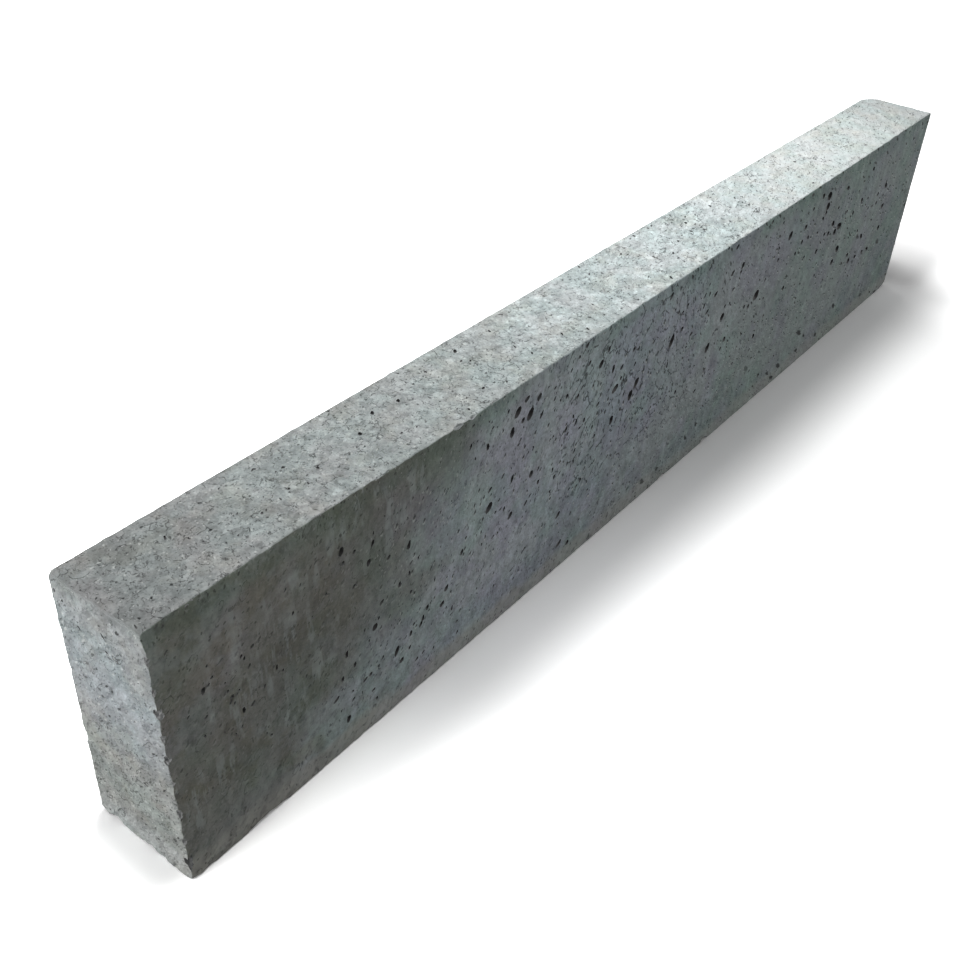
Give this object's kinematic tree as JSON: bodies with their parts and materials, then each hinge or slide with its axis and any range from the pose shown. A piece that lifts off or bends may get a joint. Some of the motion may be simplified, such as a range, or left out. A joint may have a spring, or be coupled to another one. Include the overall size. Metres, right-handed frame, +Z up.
{
  "type": "concrete kerb stone",
  "caption": "Straight precast concrete kerb stone: a long narrow block with slightly leaning faces, eased arrises, chipped edges and a pitted cast surface, for edging paths.",
  "frame": {"origin": "middle of the bed, the wide underside that the stone stands on", "axes": "+X along the stone, +Y across it towards the back face, +Z up towards the top face"},
  "size_m": [1.0037, 0.08, 0.2],
  "materials": {
    "concrete": "matte"
  },
  "bodies": {
    "root": {"kerb_stone": "concrete"}
  },
  "joints": []
}
